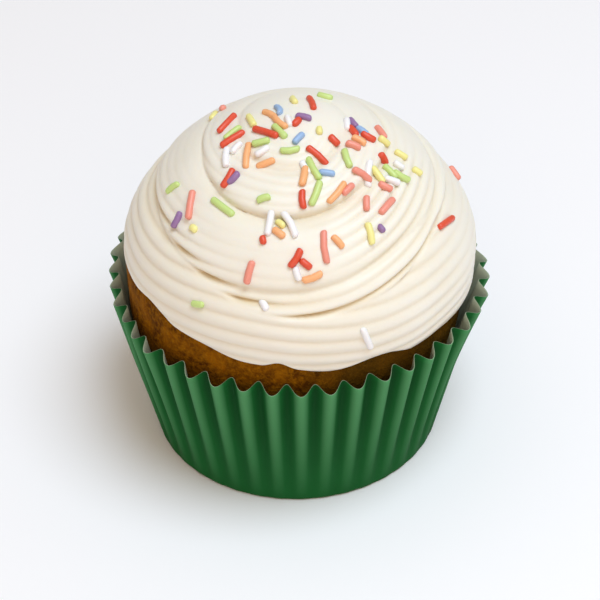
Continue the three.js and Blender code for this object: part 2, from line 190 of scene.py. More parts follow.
# The grooves on the right, along the coil's crease and on the crown.
RIGHT_DEPTH = 0.48
RIGHT_HILL = (50, 55)
RIGHT_TOP = (52, -8)
COIL_DEPTH = 0.3
COIL_FADE = 4
COIL_START = (-5, 15)
COIL_END = (175, -35)
CROWN_DEPTH = 0.18
CROWN_START = (0, 6)
CROWN_TOP = (80, -15)
# The grooves below the edge.
SIDE_DEPTH = 0.34
SIDE_LESS = 0.2
SIDE_START = (50, 25)
SIDE_END = (178, -40)
SIDE_RIB_STEP = 4.7
SIDE_AT = -11
SIDE_SLOPE = 5
SIDE_SLOPING = (60, -60)
SIDE_PHASE = 0.2
SIDE_FOOT = 3

# Rings from the lip to just short of the peak, as shares of the way: closer on the sides.
ICING_SHARES = np.concatenate([np.linspace(0, 0.72, 132), np.linspace(0.72, 0.995, 34)[1:]])
ICING_COLUMNS = 560
PEAK_LIFT = 0.01
UNDER_SHARES = (0.3, 0.6, 0.8, 0.92)  # rings under it, in shares of the sponge's radius
UNDER_INSET = 1
UNDER_GAP = 0.15
LUMP_SIZE = 6.0
LUMP_SEED = 21
LUMP_FOOT = 6
# Painted shade in a hollow, darker and warmer: for a millimetre of crease and of groove, and the most.
CREASE_SHADE = 0.45
GROOVE_SHADE = 1.6
FULLEST_SHADE = 1.6

# Strands that lie apart: colour, azimuth, height angle, heading, and length in millimetres.
LOOSE_STRANDS = [
    ("coral", -54, 36, 127, 5.0), ("purple", -56, 29, 100, 2.9), ("green", -70, 35, 70, 2.9),
    ("green", -39, 41, 170, 5.0), ("red", -45, 51, 97, 3.6), ("green", -19, 48, 28, 2.3),
    ("white", -14, 40, 92, 4.2), ("white", -5, 40, 121, 4.8), ("orange", -9, 37, 150, 2.4),
    ("red", -2, 29, 58, 3.4), ("red", 2, 27, 140, 2.2), ("white", -1, 24, 108, 2.3),
    ("orange", 4, 23, 18, 3.4), ("coral", 10, 32, 88, 5.2), ("orange", 15, 33, 122, 2.6),
    ("coral", -18, 23, 84, 3.8), ("white", -12, 13, 145, 2.2), ("green", -34, 9, 15, 2.4),
    ("white", 20, 1, 108, 4.4), ("yellow", 29, 33, 80, 3.6), ("coral", 34, 43, 60, 2.6),
    ("coral", 43, 39, 15, 3.9), ("red", 66, 21, 166, 5.0), ("coral", 104, 16, 36, 2.9),
    ("orange", 21, 50, 35, 4.6), ("green", 9, 51, 62, 4.4), ("red", 2, 49, 92, 3.2),
    ("orange", 3, 58, 77, 3.9), ("coral", 40, 53, 126, 3.8), ("red", 16, 66, 127, 4.4),
    ("green", 11, 61, 103, 4.6), ("red", -47, 73, 12, 4.9), ("red", -95, 62, 148, 4.8),
    ("red", -70, 63, 98, 4.6), ("purple", -42, 52, 73, 2.6), ("blue", 19, 58, 155, 2.6),
    ("blue", 0, 74, 52, 2.6), ("green", -9, 69, 13, 3.2), ("white", 5, 62, 118, 2.6),
    ("red", 41, 70, 103, 2.2), ("white", -57, 57, 143, 4.0), ("white", -58, 62, 113, 2.6),
    ("orange", -45, 62, 126, 5.0), ("orange", -27, 62, 37, 3.2), ("white", -35, 66, 62, 2.6),
    ("green", -42, 69, 43, 3.0), ("white", 47, 52, 50, 4.6), ("coral", 28, 50, 24, 2.6),
    ("green", 39, 61, 69, 3.6), ("purple", 35, 33, 90, 1.6), ("yellow", -46, 30, 172, 1.6),
    ("red", -15, 34, 113, 1.5), ("yellow", -9, 40, 147, 1.9), ("blue", -90, 82, 12, 2.7),
    ("white", -28, 82, 130, 2.6), ("purple", 16, 84, 147, 2.7), ("red", 129, 83, 150, 4.3),
    ("red", -5, 82, 60, 2.0), ("yellow", 33, 76, 60, 1.6), ("yellow", -119, 50, 15, 2.7),
    ("yellow", -168, 83, 90, 2.7), ("green", 143, 73, 20, 2.7), ("white", 77, 71, 19, 2.7),
    ("purple", 82, 69, 38, 2.4), ("red", 69, 68, 50, 2.6), ("blue", 74, 65, 67, 2.4),
    ("red", 72, 62, 90, 2.7), ("coral", 85, 58, 37, 3.0), ("yellow", 78, 56, 104, 2.4),
    ("orange", 61, 64, 95, 2.6), ("coral", 52, 64, 116, 2.6), ("red", 64, 53, 98, 2.4),
    ("yellow", 76, 48, 90, 2.4), ("green", 59, 48, 78, 3.0), ("green", 62, 44, 110, 3.2),
    ("white", 55, 45, 119, 2.7), ("coral", 49, 45, 115, 2.5), ("yellow", 51, 50, 75, 3.4),
    ("yellow", 73, 40, 90, 1.9), ("white", 67, 47, 90, 2.0), ("green", -77, 64, 117, 3.6),
    ("yellow", -82, 72, 10, 3.6), ("orange", -79, 79, 28, 3.4), ("orange", -43, 80, 167, 3.6),
    ("green", -31, 76, 155, 3.6), ("coral", -126, 51, 53, 3.4),
]
# Pinches that fell on the far side: azimuth, height angle, spread in degrees, colours.
PINCHES = [
    (170, 25, 14, "blue purple red orange white red green yellow"),
    (-176, 10, 12, "red green white orange coral yellow"),
    (-148, 13, 13, "green red white orange coral"),
    (148, 13, 13, "white coral green"),
]
# Lengths of a pinch's strands, and the height angles that they stay between.
PINCH_LENGTHS = (2.2, 4.8)
PINCH_ANGLES = (5, 84)
SEED = 20117
DRAW_FACTOR = 16807
DRAW_PRIME = 2**31 - 1
STRAND_LIFT = 0.15
STRAND_BEND = 0.05  # spread of the bends, as a share of the length
STRAND_WIDTHS = (0.92, 1.05)  # least and most, in shares of the setting
STRAND_SIDES = 8
# A strand's end: how far in, in radii, it is rounded, and where its rings lie as shares of
# that, and their widths.
END_ROUND = 0.8
END_INSETS = np.array([0.12, 0.45, 1.0])
END_WIDTHS = [0.5, 0.87, 1.0]
MIDDLE_WIDTH = 1.02

# The stage, in metres. A light is its name, place, width, share of the power, and colour.
TABLE_HALF = 1.5
LIGHTS = [
    ("window", (0.24, -0.17, 0.9), 0.6, 2.17, (0.73, 0.875, 1.0)),
    ("wall", (0.0, -0.95, 0.55), 1.2, 1.0, (1.0, 0.7, 0.5)),
]
LIGHTS_AIM = (0, 0, 0.03)
ROOM_COLOUR = (1.0, 0.856, 0.73)


# ---- Numbers and curves ----


def linear(hex_colour):
    """The linear colour of an sRGB hex value: each channel through the sRGB curve."""
    channels = [int(hex_colour[i : i + 2], 16) / 255 for i in (1, 3, 5)]
    return tuple(c / 12.92 if c <= 0.04045 else ((c + 0.055) / 1.055) ** 2.4 for c in channels)


def ease(x):
    """A smooth step from 0 to 1: 3t^2 - 2t^3."""
    t = np.clip(x, 0, 1)
    return t * t * (3 - 2 * t)


def bump(x):
    """A smooth hill, 1 at 0 and 0 from 1 on: the squared cosine of a quarter turn."""
    return np.cos(np.clip(x, -1, 1) * np.pi / 2) ** 2


def step(x, start, over):
    """A smooth step that is 0 at start and 1 from start + over on."""
    return ease((x - start) / over)


def turned(azimuth):
    """The same azimuth between -180 and 180 degrees."""
    return (np.asarray(azimuth, float) + 180) % 360 - 180


def hill(azimuth, middle, half):
    """A smooth hill round the cupcake, 1 at the azimuth of its middle."""
    return bump(turned(azimuth - middle) / half)


def on_ring(radius, azimuth, height):
    """Points of a ring: radius times (sine, minus cosine) of the azimuth, at a height."""
    a = np.radians(azimuth)
    radius, a, height = np.broadcast_arrays(radius, a, height)
    return np.stack([radius * np.sin(a), -radius * np.cos(a), height], -1)


def soft_noise(points, size, seed):
    """Noise from -1 to 1: random values on a cubic lattice, eased between its corners."""
    lattice = np.random.default_rng(seed).uniform(-1, 1, (NOISE_CELLS,) * 3)
    at = points / size
    corner = np.floor(at).astype(int)
    share = ease(at - corner)
    total = 0.0
    for near in np.ndindex(2, 2, 2):
        weight = np.prod(np.where(near, share, 1 - share), -1)
        cell = (corner + near) % NOISE_CELLS
        total = total + weight * lattice[cell[..., 0], cell[..., 1], cell[..., 2]]
    return total


# ---- Meshes ----


def ring_faces(rows, columns):
    """Faces of a grid of rings, the last column joined to the first."""
    row = np.arange(rows - 1)[:, None] * columns
    here = np.arange(columns)[None, :]
    after = (here + 1) % columns
    corners = [row + here, row + after, row + columns + after, row + columns + here]
    return np.stack(corners, -1).reshape(-1, 4)


def cap_faces(columns, first, pole):
    """Triangles from the ring that starts at vertex first to a pole."""
    here = np.arange(columns)
    after = (here + 1) % columns
    return np.stack([first + here, first + after, np.full(columns, pole)], -1)


def closed_skin(rings, bottom, top):
    """Vertices and faces of a closed skin: a grid of rings with a pole at either end."""
    rows, columns = rings.shape[:2]
    points = np.concatenate([rings.reshape(-1, 3), [bottom, top]])
    low = cap_faces(columns, 0, rows * columns)[:, ::-1]
    high = cap_faces(columns, (rows - 1) * columns, rows * columns + 1)
    return points, [ring_faces(rows, columns), low, high]


def add_piece(name, points, faces, material, node):
    """A mesh piece in metres that rides on the cupcake and stands for a node of it."""
    corners = [f for group in faces for f in group.tolist()]
    mesh = bpy.data.meshes.new(name)
    mesh.from_pydata((points * MM).tolist(), [], corners)
    mesh.shade_smooth()
    if mesh.validate():
        raise RuntimeError(name + " has faces that had to be mended")
    mesh.materials.append(material)
    piece = bpy.data.objects.new(name, mesh)
    bpy.context.scene.collection.objects.link(piece)
    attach(piece, BODY)
    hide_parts(node)
    return piece


def add_share(piece, name, values):
    """A number on every vertex, which the material reads."""
    layer = piece.data.attributes.new(name, "FLOAT", "POINT")
    layer.data.foreach_set("value", np.asarray(values, np.float32).ravel())


# ---- Materials ----


def new_material(name):
    """A material, its node tree, and the object's coordinates for its patterns."""
    material = bpy.data.materials.new(name)
    material.use_nodes = True
    tree = material.node_tree
    tree.nodes.clear()
    return material, tree, add_node(tree, "ShaderNodeTexCoord").outputs["Object"]


def add_node(tree, kind, values=None, links=None):
    """Adds a node. Values are its own fields or its inputs' values, and links are sockets that
    go to its inputs. An input is named, or numbered where names repeat."""
    node = tree.nodes.new(kind)
    for key, value in (values or {}).items():
        if isinstance(key, str) and hasattr(node, key):
            setattr(node, key, value)
        else:
            node.inputs[key].default_value = value
    for key, socket in (links or {}).items():
        tree.links.new(socket, node.inputs[key])
    return node


def rgba(colour):
    """A linear colour with its opacity."""
    return (*colour, 1.0)


def paler(colour, share):
    """A linear colour, taken a share of the way to white."""
    return [c + share * (1 - c) for c in colour]


def greaseproof_paper(settings):
    """Dyed greaseproof paper, pressed into pleats: matt, with a painted highlight on the ridges and
    painted shade deep in the folds, and grey-green on its undyed inside."""
    material, tree, place = new_material("greaseproof_paper")
    inside = add_node(tree, "ShaderNodeAttribute", {"attribute_name": "inside"})
    ridge = add_node(tree, "ShaderNodeAttribute", {"attribute_name": "ridge"})
    # Fibres, drawn 0.5 mm across so that they show, and clouds of dye 7 mm across.
    fibre = add_node(tree, "ShaderNodeTexNoise", {"Scale": 1 / (0.5 * MM), "Detail": 3}, {"Vector": place})
    cloud = add_node(tree, "ShaderNodeTexNoise", {"Scale": 1 / (7 * MM), "Detail": 2}, {"Vector": place})
    # The ridge share paints a highlight on the ridges; its negative, the valley share, paints shade in the
    # folds.
    valley = add_node(tree, "ShaderNodeMath", {"operation": "MULTIPLY", 1: -1.0}, {0: ridge.outputs["Fac"]})
    dyed = add_node(
        tree,
        "ShaderNodeMix",
        {"data_type": "RGBA", 6: rgba(settings.shade), 7: rgba(settings.green)},
        {0: cloud.outputs["Fac"]},
    )
    # Over the dye: painted shade in the folds, a painted highlight on the ridges, then the undyed inside.
    for share, colour in (
        (valley.outputs[0], settings.fold),
        (ridge.outputs["Fac"], settings.ridge),
        (inside.outputs["Fac"], settings.inside),
    ):
        values = {"data_type": "RGBA", 7: rgba(colour)}
        dyed = add_node(tree, "ShaderNodeMix", values, {0: share, 6: dyed.outputs[2]})
    lift = add_node(
        tree, "ShaderNodeBump", {"Strength": 0.15, "Distance": 0.1 * MM}, {"Height": fibre.outputs["Fac"]}
    )
    shader = add_node(
        tree,
        "ShaderNodeBsdfPrincipled",
        {"Roughness": 0.7, "IOR": 1.5, "Specular IOR Level": 0.1},
        {"Base Color": dyed.outputs[2], "Normal": lift.outputs["Normal"]},
    )
    add_node(tree, "ShaderNodeOutputMaterial", {}, {"Surface": shader.outputs[0]})
    return material


def baked_sponge(settings):
    """Baked sponge crust: dry and matt, amber where it rose free, darker where it caught the heat
    and darker to the right of the middle, with an open crumb of half a millimetre and more."""
    material, tree, place = new_material("baked_sponge")
    # Browned patches 4 mm across, crumbs 0.9 mm across, and 9 mm right of the middle over
    # which the crust darkens.
    patch = add_node(tree, "ShaderNodeTexNoise", {"Scale": 1 / (4 * MM), "Detail": 3}, {"Vector": place})
    crumb = add_node(
        tree,
        "ShaderNodeTexNoise",
        {"Scale": 1 / (0.9 * MM), "Detail": 4, "Roughness": 0.7},
        {"Vector": place},
    )
    patchy = add_node(
        tree, "ShaderNodeMapRange", {"From Min": 0.38, "From Max": 0.62}, {"Value": patch.outputs["Fac"]}
    )
    crumbly = add_node(
        tree, "ShaderNodeMapRange", {"From Min": 0.4, "From Max": 0.7}, {"Value": crumb.outputs["Fac"]}
    )
    crust = add_node(
        tree,
        "ShaderNodeMix",
        {"data_type": "RGBA", 6: rgba(settings.dark), 7: rgba(settings.amber)},
        {0: patchy.outputs["Result"]},
    )
    # The crust turns darker from the middle to 9 mm right of it.
    across = add_node(tree, "ShaderNodeSeparateXYZ", {}, {"Vector": place})
    darker_right = add_node(
        tree,
        "ShaderNodeMapRange",
        {"From Min": 0.0, "From Max": 9 * MM, "To Max": 0.75},
        {"Value": across.outputs["X"]},
    )
    for share, colour in ((crumbly, settings.gold), (darker_right, settings.darker_right)):
        values = {"data_type": "RGBA", 7: rgba(colour)}
        links = {0: share.outputs["Result"], 6: crust.outputs[2]}
        crust = add_node(tree, "ShaderNodeMix", values, links)
    lift = add_node(
        tree,
        "ShaderNodeBump",
        {"Strength": 0.7, "Distance": 0.4 * MM},
        {"Height": crumbly.outputs["Result"]},
    )
    shader = add_node(
        tree,
        "ShaderNodeBsdfPrincipled",
        {"Roughness": 0.85, "IOR": 1.4, "Specular IOR Level": 0.1},
        {"Base Color": crust.outputs[2], "Normal": lift.outputs["Normal"]},
    )
    add_node(tree, "ShaderNodeOutputMaterial", {}, {"Surface": shader.outputs[0]})
    return material


def piped_buttercream(settings):
    """Butter and sugar whipped and piped: soft satin, light goes a little way in, painted shade,
    darker and warmer, in the creases, and the faint grain of its sugar."""
    material, tree, place = new_material("piped_buttercream")
    painted_crease_shade = add_node(tree, "ShaderNodeAttribute", {"attribute_name": "painted_crease_shade"})
    # Clouds 9 mm across, and the grain of the sugar, drawn at 0.7 mm so that it shows.
    cloud = add_node(tree, "ShaderNodeTexNoise", {"Scale": 1 / (9 * MM), "Detail": 2}, {"Vector": place})
    sugar = add_node(
        tree,
        "ShaderNodeTexNoise",
        {"Scale": 1 / (0.7 * MM), "Detail": 4, "Roughness": 0.6},
        {"Vector": place},
    )
    cream = add_node(
        tree,
        "ShaderNodeMix",
        {"data_type": "RGBA", 6: rgba(settings.shade), 7: rgba(settings.cream)},
        {0: cloud.outputs["Fac"]},
    )
    # Painted shade in the creases and grooves: the cream turns to the darker, warmer crease colour.
    creased = add_node(
        tree,
        "ShaderNodeMix",
        {"data_type": "RGBA", 7: rgba(settings.crease)},
        {0: painted_crease_shade.outputs["Fac"], 6: cream.outputs[2]},
    )
    lift = add_node(
        tree, "ShaderNodeBump", {"Strength": 0.12, "Distance": 0.2 * MM}, {"Height": sugar.outputs["Fac"]}
    )
    shader = add_node(
        tree,
        "ShaderNodeBsdfPrincipled",
        {
            "Roughness": 0.42,
            "IOR": 1.46,
            "Specular IOR Level": 0.45,
            "Subsurface Weight": 0.25,
            "Subsurface Radius": (1.0, 0.8, 0.55),
            "Subsurface Scale": 1.2 * MM,
        },
        {"Base Color": creased.outputs[2], "Normal": lift.outputs["Normal"]},
    )
    add_node(tree, "ShaderNodeOutputMaterial", {}, {"Surface": shader.outputs[0]})
    return material


def pressed_sugar(name, colour):
    """Sugar paste, dyed, drawn into strands and glazed: one even colour with a dull shine."""
    material, tree, place = new_material("pressed_sugar_" + name)
    # Grain, a little paler on its high spots, and drawn at 0.5 mm so that it shows.
    grain = add_node(tree, "ShaderNodeTexNoise", {"Scale": 1 / (0.5 * MM), "Detail": 3}, {"Vector": place})
    dyed = add_node(
        tree,
        "ShaderNodeMix",
        {"data_type": "RGBA", 6: rgba(colour), 7: rgba(paler(colour, 0.06))},
        {0: grain.outputs["Fac"]},
    )
    lift = add_node(
        tree, "ShaderNodeBump", {"Strength": 0.12, "Distance": 0.1 * MM}, {"Height": grain.outputs["Fac"]}
    )
    shader = add_node(
        tree,
        "ShaderNodeBsdfPrincipled",
        {
            "Roughness": 0.38,
            "IOR": 1.5,
            "Subsurface Weight": 0.15,
            "Subsurface Radius": (1.0, 0.8, 0.6),
            "Subsurface Scale": 0.5 * MM,
        },
        {"Base Color": dyed.outputs[2], "Normal": lift.outputs["Normal"]},
    )
    add_node(tree, "ShaderNodeOutputMaterial", {}, {"Surface": shader.outputs[0]})
    return material


def matt_laminate(settings):
    """A white matt laminate table top: nearly even, with the faintest cloud in it."""
    material, tree, place = new_material("matt_laminate")
    # Clouds 120 mm across.
    cloud = add_node(tree, "ShaderNodeTexNoise", {"Scale": 1 / (120 * MM), "Detail": 1}, {"Vector": place})
    top = add_node(
        tree,
        "ShaderNodeMix",
        {"data_type": "RGBA", 6: rgba(settings.table), 7: rgba(paler(settings.table, 0.08))},
        {0: cloud.outputs["Fac"]},
    )
    shader = add_node(
        tree, "ShaderNodeBsdfPrincipled", {"Roughness": 0.6, "IOR": 1.45}, {"Base Color": top.outputs[2]}
    )
    add_node(tree, "ShaderNodeOutputMaterial", {}, {"Surface": shader.outputs[0]})
    return material


# ---- The paper case ----


def pleat_fold(share):
    """0 on a ridge and 1 in a valley: a parabola over the ridge, a straight flank, and a
    tighter parabola in the valley."""
    way = 2 * np.abs((share + 0.5) % 1 - 0.5)
    down = np.where(way < RIDGE_ROUND, way**2 / (2 * RIDGE_ROUND), way - RIDGE_ROUND / 2)
    flat = np.clip(way - 1 + VALLEY_ROUND, 0, 1) ** 2 / (2 * VALLEY_ROUND)
    return (down - flat) / (1 - (RIDGE_ROUND + VALLEY_ROUND) / 2)


def pleat_radius(settings, share, up, depth):
    """The outer face of the pleated wall: a cone less the fold's depth, which grows with a
    power of the way up."""
    cone = settings.base_radius / MM + (settings.rim_radius - settings.base_radius) / MM * up
    return cone - depth * up**PLEAT_RISE * pleat_fold(share)


def rim_flare(azimuth, up):
    """How far the rim bends out: hills round it, times a power of the way up."""
    lobes = sum(far * hill(azimuth, at, half) for at, half, far in RIM_FLARES)
    return lobes * np.clip((up - FLARE_FROM) / (1 - FLARE_FROM), 0, 1) ** FLARE_BEND


def case_skin(settings):
    """Outside of the wall from the floor up, over the rim, and down the inside to the floor.
    Returns the rings, a share that is 1 on the inside, and a share of painted highlight and shade that
    runs from 1 on a ridge to -1 in a valley, both at the rim."""
    pleats = settings.pleats
    column = np.arange(pleats * PLEAT_COLUMNS)
    share = column / PLEAT_COLUMNS
    azimuth = PLEAT_TURN + share * 360 / pleats
    draw = np.random.default_rng(PLEAT_SEED)
    ridges = np.arange(pleats + 1)
    drawn = draw.normal(0, 1, (3, pleats))
    uneven = [np.interp(share, ridges, np.append(values, values[0])) for values in drawn]
    depth = settings.pleat_depth / MM * (1 + UNEVEN_DEPTH * uneven[0])
    fold = pleat_fold(share)
    wall = settings.paper / MM
    top = settings.height / MM + settings.valley_lift / MM * fold + UNEVEN_HEIGHT * uneven[1]
    flat = settings.base_radius / MM - CASE_EDGE_ROUND

    def ring(up, inset, lift=0.0):
        lean = UNEVEN_LEAN * uneven[2] * up**LEAN_BEND + rim_flare(azimuth, up)
        radius = pleat_radius(settings, share, up, depth) - inset + lean
        return on_ring(radius, azimuth, top * up + lift)

    outer = [on_ring(flat, azimuth, 0.0)] + [ring(up, 0.0) for up in WALL_UPS]
    rim = [ring(1.0, wall / 2, wall * RIM_CREST)]
    inner = [ring(up, wall) for up in WALL_UPS[::-1]] + [on_ring(flat - wall, azimuth, wall)]
    rings = np.array(outer + rim + inner)
    shares = [0.0] * len(outer) + [RIM_PALE] + [1.0] * len(inner)
    inside = np.repeat(np.array(shares)[:, None], len(column), 1)
    # Share of painted highlight on the ridges and painted shade in the valleys, growing up the wall to the
    # rim.
    ridge = np.repeat((1 - 2 * fold)[None, :], len(rings), 0)
    height = np.clip(rings[..., 2] / (settings.height / MM), 0, 1)
    return rings, inside, ridge * height, wall


# ---- The sponge ----


def dome_height(x, y):
    """Height of the sponge's crust: a rounded dome, tilted up on its left."""
    rim = np.clip(np.hypot(x, y) / SHOULDER_RADIUS, 0, 1) ** DOME_ROUND
    above = DOME_HEIGHT * (1 - rim) ** (1 / DOME_ROUND)
    return SHOULDER_HEIGHT + above - DOME_TILT * x / SHOULDER_RADIUS * ease(above / TILT_FADE)


def sponge_skin(settings, case):
    """Rings from the floor up the wall, over the shoulder and in over the dome. Crags and
    crumbs are cut into the crust along its distance from the middle of the base."""
    azimuth = np.arange(SPONGE_COLUMNS) * 360 / SPONGE_COLUMNS
    wall = case.paper / MM + SPONGE_GAP
    deepest = case.pleat_depth / MM * CLEAR_OF_PLEATS
    foot = case.base_radius / MM - CASE_EDGE_ROUND - FOOT_INSET
    rings = [on_ring(foot, azimuth, wall)]
    for up in SIDE_UPS:
        radius = pleat_radius(case, VALLEY, up, deepest) - wall
        rings.append(on_ring(radius, azimuth, SHOULDER_HEIGHT * up))
    for share in DOME_SHARES:
        ring = on_ring(SHOULDER_RADIUS * share, azimuth, 0.0)
        ring[..., 2] = dome_height(ring[..., 0], ring[..., 1])
        rings.append(ring)
    rings = np.array(rings)
    crag = sum(share * soft_noise(rings, size, seed) for share, size, seed in CRUST_NOISE)
    cut = settings.relief / MM * (crag - CRUST_LEVEL) * step(rings[..., 2], *CRUST_STEP)
    rings *= 1 + (cut / np.linalg.norm(rings, axis=-1))[..., None]
    return rings


# ---- The buttercream ----


def mound_radius(azimuth, angle):
    """Distance of the plain mound from the waist's middle: a rounded outline, |c/a|^n + |s/b|^n
    = 1 along the height angle, with one height above the waist and another below it, which is
    larger on the right."""
    c = np.abs(np.cos(np.radians(angle)) / WAIST_RADIUS)
    s = np.abs(np.sin(np.radians(angle)))
    crown = (c**CROWN_ROUND + (s / CROWN_HEIGHT) ** CROWN_ROUND) ** (-1 / CROWN_ROUND)
    depth = TUCK_DEPTH + HANG_DEPTH * hill(azimuth, *HANG_HILL)
    tuck = (c**TUCK_ROUND + (s / depth) ** TUCK_ROUND) ** (-1 / TUCK_ROUND)
    return np.where(np.asarray(angle) >= 0, crown, tuck)


def along_angle(radius, azimuth, angle):
    """A place by its distance, azimuth and height angle from the waist's middle."""
    rise = np.radians(angle)
    height = WAIST_HEIGHT + radius * np.sin(rise)
    return on_ring(radius * np.cos(rise), azimuth, height) + np.array([*ICING_CENTRE, 0])


def lip_angle(azimuth):
    """Height angle of the lower edge, found by halving: there the mound comes down to the
    edge's height, or to the sponge. Lobes hang from it or are drawn up."""
    azimuth = np.asarray(azimuth, float)
    below = np.full(azimuth.shape, UNDER_LIP)
    above = np.zeros(azimuth.shape)
    for _ in range(LIP_HALVINGS):
        angle = (above + below) / 2
        edge = along_angle(mound_radius(azimuth, angle), azimuth, angle)
        seat = dome_height(edge[..., 0], edge[..., 1]) + ICING_SEAT
        tilted = LIP_HEIGHT - LIP_TILT * edge[..., 0] / WAIST_RADIUS
        clear = edge[..., 2] > np.maximum(np.maximum(LIP_LOWEST, tilted), seat)
        above = np.where(clear, angle, above)
        below = np.where(clear, below, angle)
    a = np.radians(azimuth)
    lip = above + LIP_WAVE * (1 + sum(np.sin(waves * a + 1) for waves in LIP_WAVES) / 2)
    for at, half, hang in LIP_LOBES:
        lip = lip - hang * hill(azimuth, at, 2 * half)
    return np.maximum(lip, LOWEST_LIP)


def crease_angle(turn):
    """Height angle of the crease above the rope, turn degrees along it: it leaves the lip at
    the rope's start, climbs lap by lap to the peak, and sags towards the front."""
    turn = np.asarray(turn, float)
    lip = lip_angle(turn + ROPE_START)
    rounding = 1 - np.clip(turn / START_TURN, 0, 1)
    angle = lip + (START_LEVEL - lip) * (1 - rounding**2)
    level = START_LEVEL
    for lap, (top, after, climb) in enumerate(LAPS):
        angle = angle + (top - level) * step(turn - 360 * lap, after, climb)
        level = top
    front = hill(turn + ROPE_START, *DIP_HILL)
    sag = FRONT_DIP * front * np.clip((angle - lip) / DIP_FROM_LIP, 0, 1)
    angle = np.minimum(PEAK, angle - sag * np.clip((PEAK - angle) / DIP_FROM_PEAK, 0, 1))
    return np.where(turn <= 0, lip, angle)


def crease_depth(azimuth, edges, number):
    """How deep a crease lies: it deepens up to the middle and fades out towards the peak. It is
    shallower beside a narrow lap, round the back of the coil and low on the left of the front.
    The lip and the peak aren't creases."""
    if number in (0, len(edges) - 1):
        return np.zeros_like(edges[number])
    angle = edges[number]
    narrowest = np.minimum(angle - edges[number - 1], edges[number + 1] - angle)
    high = step(angle, *COIL_FOOT)
    back = BACK_LESS * (1 - hill(azimuth, *FRONT_HILL)) * high
    left = LEFT_LESS * hill(azimuth, *LEFT_HILL) * (1 - high)
    fade = np.clip((PEAK - angle) / CREASE_FADE, 0, 1) * np.clip(narrowest / FULL_LAP, 0, 1)
    depth = CREASE_DEPTH + CREASE_MORE * ease(angle / CREASE_MORE_AT)
    return depth * fade * (1 - back) * (1 - left)


def crease_drop(azimuth, angle, edges):
    """How far the surface lies below the mound between the laps' edges: nothing on a lap's
    crest, and a power of the way from it to the creases beside it."""
    drop = np.zeros(np.broadcast(azimuth, angle).shape)
    for lap in range(len(edges) - 1):
        low, high = edges[lap], edges[lap + 1]
        share = np.clip((angle - low) / np.maximum(high - low, THINNEST_LAP), 0, 1)
        below = np.clip(1 - share / CREST_AT, 0, 1) ** CREASE_SHAPE
        above = np.clip((share - CREST_AT) / (1 - CREST_AT), 0, 1) ** CREASE_SHAPE
        fall = crease_depth(azimuth, edges, lap) * below
        fall = fall + crease_depth(azimuth, edges, lap + 1) * above
        drop = np.where((angle >= low) & (angle < high), fall, drop)
    return drop


def rib_notch(phase):
    """A rib's profile: 0 on its back, 1 in the sharp groove where the phase is whole."""
    return 1 - np.abs(np.sin(np.pi * phase)) ** RIB_BACK


def upper_grooves(at, angle, over, coil):
    """Depth of the grooves above the second lap's edge. Each starts as a notch, a bell curve of
    the angle over the edge, and fades by an exponential. Others lie on the right, along the
    coil's crease and on the crown, and the deepest counts. They run level on the left of the
    front and climb to the right."""
    front = hill(at, *RIB_HILL)
    notch = NOTCH_DEPTH * np.exp(-((over / NOTCH_WIDE) ** 2)) * step(at, *NOTCH_END) * front
    fading = (GROOVE_DEPTH + GROOVE_MORE * front) * np.exp(-np.maximum(over, 0) / GROOVE_FADE)
    right = RIGHT_DEPTH * hill(at, *RIGHT_HILL) * step(angle, *RIGHT_TOP)
    ring = COIL_DEPTH * np.exp(-np.abs(angle - coil) / COIL_FADE)
    ring = ring * np.where(angle < coil, step(at, *COIL_START), 1) * step(np.abs(at), *COIL_END)
    crown = CROWN_DEPTH * step(angle - coil, *CROWN_START) * step(angle, *CROWN_TOP) * front
    climb = RIB_CLIMB * RIB_STEP * step(at, *RIB_CLIMBING)
    phase = (angle - climb - RIB_AT) / RIB_STEP
    return np.maximum.reduce([notch + fading, right, ring, crown]) * rib_notch(phase)


def lower_grooves(at, angle, lip):
    """Depth of the grooves between the lip and the second lap's edge, which slope by the sine
    of the azimuth in front."""
    depth = SIDE_DEPTH - SIDE_LESS * step(at, *SIDE_START) * step(at, *SIDE_END)
    slope = SIDE_SLOPE * np.sin(np.radians(at)) * step(np.abs(at), *SIDE_SLOPING)
    phase = (angle - (SIDE_AT - slope)) / SIDE_RIB_STEP + SIDE_PHASE
    return depth * rib_notch(phase) * ease((angle - lip) / SIDE_FOOT)


def rib_relief(azimuth, angle, lip, coil):
    """Depth of the grooves between the ribs, over the second lap's edge and below it."""
    at = turned(azimuth)
    over = angle - (EDGE_LEVEL - EDGE_DIP * hill(at, *EDGE_HILL))
    above = step(over, *EDGE_OVER)
    upper = upper_grooves(at, angle, over, coil) * above
    return upper + lower_grooves(at, angle, lip) * (1 - above)


def icing_radius(azimuth, angle):
    """Distance of the icing's surface: the mound, less the creases between the laps, less the
    grooves of the ribs, and rounded off at the lip. The first crease comes in along the rope's
    start. Returns the share of painted shade in the hollows, too."""
    turn = (azimuth - ROPE_START) % 360
    laps = range(len(LAPS) + 1)
    edges = [lip_angle(turn + ROPE_START)] + [crease_angle(turn + 360 * lap) for lap in laps]
    before = crease_drop(azimuth, angle, edges[:1] + edges[2:])
    after = crease_drop(azimuth, angle, edges)
    drop = before + (after - before) * ease(turn / START_FADE)
    at = turned(azimuth)
    coil = np.where(at < ROPE_START, edges[2], edges[3])
    ribs = rib_relief(azimuth, angle, edges[0], coil)
    roll = np.clip(1 - (angle - edges[0]) / LIP_ROLL, 0, 1)
    rounding = LIP_ROUND * (1 - np.sqrt(1 - roll**2))
    radius = mound_radius(azimuth, angle) - drop - ribs - rounding
    # The second value is the painted shade in the creases and grooves.
    return radius, CREASE_SHADE * drop + GROOVE_SHADE * ribs


